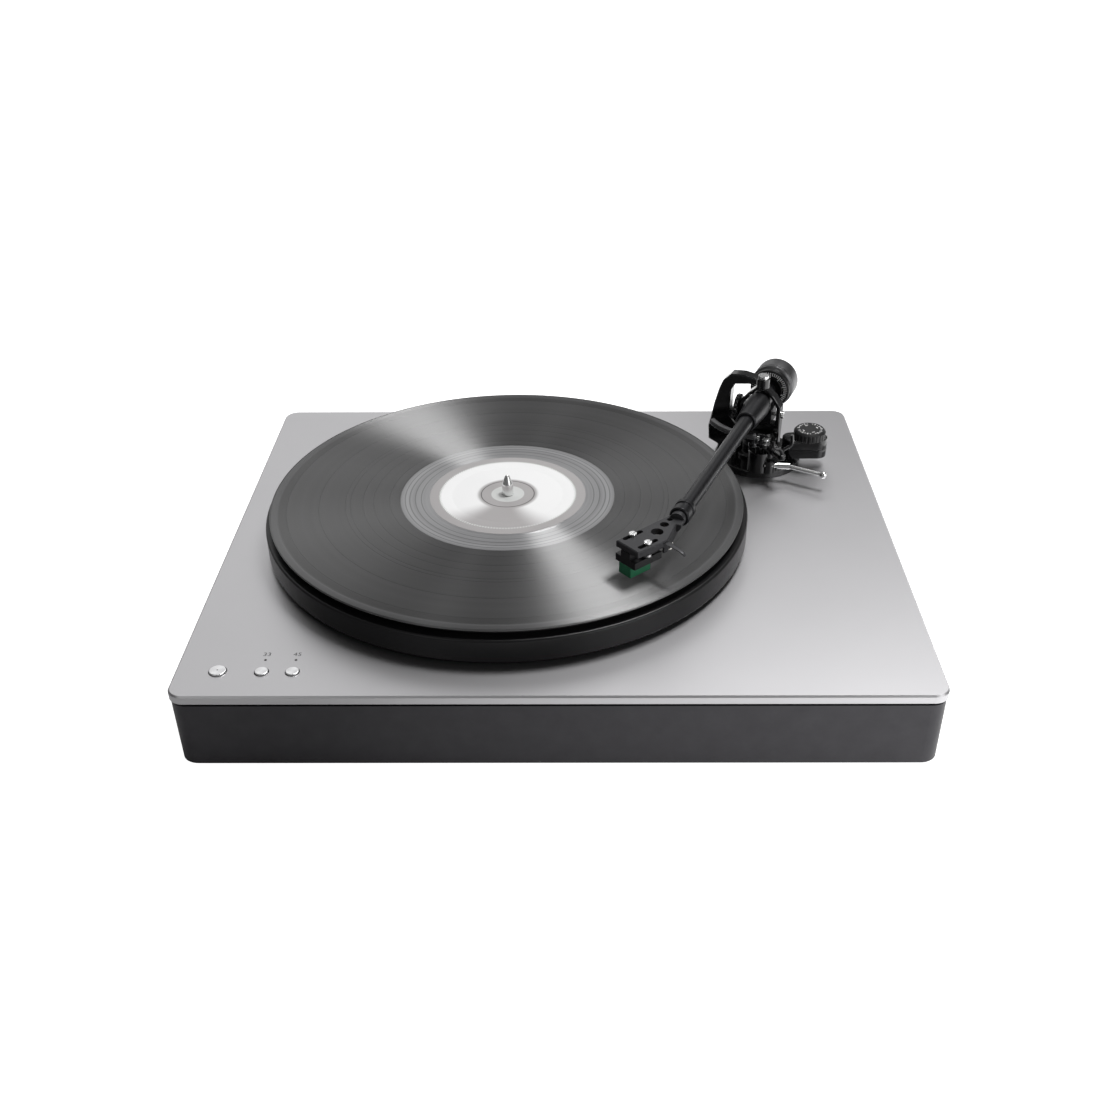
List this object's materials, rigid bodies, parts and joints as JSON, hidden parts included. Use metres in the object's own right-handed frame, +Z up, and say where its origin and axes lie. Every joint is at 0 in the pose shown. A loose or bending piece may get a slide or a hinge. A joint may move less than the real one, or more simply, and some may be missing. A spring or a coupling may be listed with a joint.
{
  "type": "turntable record player",
  "caption": "Belt-drive turntable with a metal plate plinth, a platter with a record on it, and a straight gimbal tonearm with headshell, cue lever and anti-skate dial.",
  "frame": {"origin": "centre of the footprint, on the surface that the feet stand on", "axes": "+X to the right along the long side, +Y to the back, +Z up"},
  "size_m": [0.425, 0.352, 0.1217],
  "materials": {
    "plate_metal": "bead-blasted, satin, with a bright bevelled edge",
    "shell_metal": "satin",
    "black_metal": "satin black",
    "gloss_black": "polished",
    "matte_black": "moulded, fine grain",
    "arm_metal": "dark satin anodised",
    "headshell_metal": "dark grey, matte",
    "bright_steel": "turned",
    "bright_screw": "polished",
    "button_metal": "satin, spun face",
    "vinyl": "pressed, grooved",
    "label_print": "printed paper",
    "mat_rubber": "moulded",
    "foot_rubber": "moulded",
    "bronze": "turned",
    "board": "lacquered board",
    "light": "clear",
    "stylus_green": "moulded",
    "lead_wire": "insulated",
    "weight_metal": "dark satin",
    "platter_metal": "satin black, bright edge"
  },
  "bodies": {
    "chassis": {"top_plate": "plate_metal", "plinth_shell": "shell_metal", "bottom_cover": "black_metal", "case_screws": "bright_steel", "foot_cups": "matte_black", "foot_pads": "foot_rubber", "rear_panel": "black_metal", "rca_sockets": "bronze", "earth_terminal": "bright_steel", "power_inlet": "matte_black", "bearing_housing": "bright_steel", "bearing_bush": "bronze", "thrust_ball": "bright_screw", "motor_case": "bright_steel", "drive_belt": "mat_rubber", "control_board": "board", "tact_switches": "matte_black", "light_pipes": "light", "phono_board": "board", "board_spacers": "bright_steel", "arm_base": "black_metal", "arm_base_nut": "bright_steel", "arm_pillar": "gloss_black", "bearing_arch": "gloss_black", "top_bearing_screw": "bright_screw", "lift_cylinder": "gloss_black", "arm_rest": "gloss_black", "antiskate_housing": "gloss_black"},
    "platter": {"spindle": "bright_screw", "sub_platter": "matte_black", "platter": "platter_metal", "slip_mat": "mat_rubber", "record": "vinyl", "record_label": "label_print"},
    "motor_rotor": {"motor_shaft": "bright_screw", "motor_pulley": "bronze"},
    "power_key": {"power_button": "button_metal"},
    "speed_33_key": {"speed_33_button": "button_metal"},
    "speed_45_key": {"speed_45_button": "button_metal"},
    "lift": {"lift_rail": "arm_metal", "rail_screws": "bright_screw"},
    "lever": {"cue_lever": "bright_screw"},
    "antiskate_dial": {"antiskate_knob": "matte_black"},
    "lock_dial": {"lock_knob": "gloss_black"},
    "arm_yoke": {"gimbal_ring": "gloss_black", "pivot_screws": "bright_screw"},
    "tonearm": {"arm_sleeve": "arm_metal", "arm_tube": "arm_metal", "headshell": "headshell_metal", "headshell_screws": "bright_screw", "finger_lift": "headshell_metal", "cartridge_body": "matte_black", "stylus_block": "stylus_green", "cantilever": "bright_steel", "cartridge_wires": "lead_wire", "counterweight_stub": "arm_metal"},
    "lock_collar": {"headshell_collar": "gloss_black"},
    "weight_bush": {"counterweight_bush": "black_metal"},
    "weight": {"counterweight": "weight_metal"},
    "scale": {"scale_ring": "black_metal"}
  },
  "joints": [
    {"name": "platter_spin", "type": "hinge", "parent": "chassis", "child": "platter", "pos_m": [-0.0346, 0.0035, 0.058], "axis": [0, 0, 1], "continuous": true},
    {"name": "motor_spin", "type": "hinge", "parent": "chassis", "child": "motor_rotor", "pos_m": [-0.11242, 0.05799, 0.058], "axis": [0, 0, 1], "continuous": true},
    {"name": "power_press", "type": "slide", "parent": "chassis", "child": "power_key", "axis": [0, 0, -1], "range_m": [0, 0.0008], "stiffness_N_per_m": 300},
    {"name": "speed_33_press", "type": "slide", "parent": "chassis", "child": "speed_33_key", "axis": [0, 0, -1], "range_m": [0, 0.0008], "stiffness_N_per_m": 300},
    {"name": "speed_45_press", "type": "slide", "parent": "chassis", "child": "speed_45_key", "axis": [0, 0, -1], "range_m": [0, 0.0008], "stiffness_N_per_m": 300},
    {"name": "arm_swing", "type": "hinge", "parent": "chassis", "child": "arm_yoke", "pos_m": [0.138, 0.098, 0.088], "axis": [0, 0, 1], "range_deg": [-20, 36]},
    {"name": "arm_tilt", "type": "hinge", "parent": "arm_yoke", "child": "tonearm", "pos_m": [0.138, 0.098, 0.0945], "axis": [-0.9219, 0.3875, 0], "range_deg": [0, 3]},
    {"name": "cue_lever_turn", "type": "hinge", "parent": "chassis", "child": "lever", "pos_m": [0.13491, 0.067, 0.069], "axis": [-0.9951, 0.0993, 0], "range_deg": [0, 60]},
    {"name": "lift_rise", "type": "slide", "parent": "chassis", "child": "lift", "axis": [0, 0, 1], "range_m": [0, 0.002]},
    {"name": "antiskate_turn", "type": "hinge", "parent": "chassis", "child": "antiskate_dial", "pos_m": [0.172, 0.089, 0.079], "axis": [0, 0, 1], "range_deg": [0, 300]},
    {"name": "lock_turn", "type": "hinge", "parent": "chassis", "child": "lock_dial", "pos_m": [0.1246, 0.11774, 0.08], "axis": [-0.3875, -0.9219, 0], "range_deg": [-90, 180]},
    {"name": "collar_turn", "type": "hinge", "parent": "tonearm", "child": "lock_collar", "pos_m": [0.0729, -0.05687, 0.103], "axis": [-0.3875, -0.9219, 0], "range_deg": [0, 70]},
    {"name": "bush_slide", "type": "slide", "parent": "tonearm", "child": "weight_bush", "axis": [0.3875, 0.9219, 0], "range_m": [-0.0005, 0.004]},
    {"name": "weight_turn", "type": "hinge", "parent": "weight_bush", "child": "weight", "pos_m": [0.1504, 0.1275, 0.103], "axis": [0.3875, 0.9219, 0], "range_deg": [-90, 720]},
    {"name": "scale_turn", "type": "hinge", "parent": "weight", "child": "scale", "pos_m": [0.14614, 0.11736, 0.103], "axis": [0.3875, 0.9219, 0], "range_deg": [-180, 180]}
  ],
  "couplings": [
    {"joint": "motor_spin", "follows": "platter_spin", "ratio": 7.5},
    {"joint": "cue_lever_turn", "follows": "arm_tilt", "ratio": 20},
    {"joint": "lift_rise", "follows": "arm_tilt", "m_per_rad": 0.0381},
    {"joint": "bush_slide", "follows": "weight_turn", "m_per_rad": 0.00031831}
  ]
}
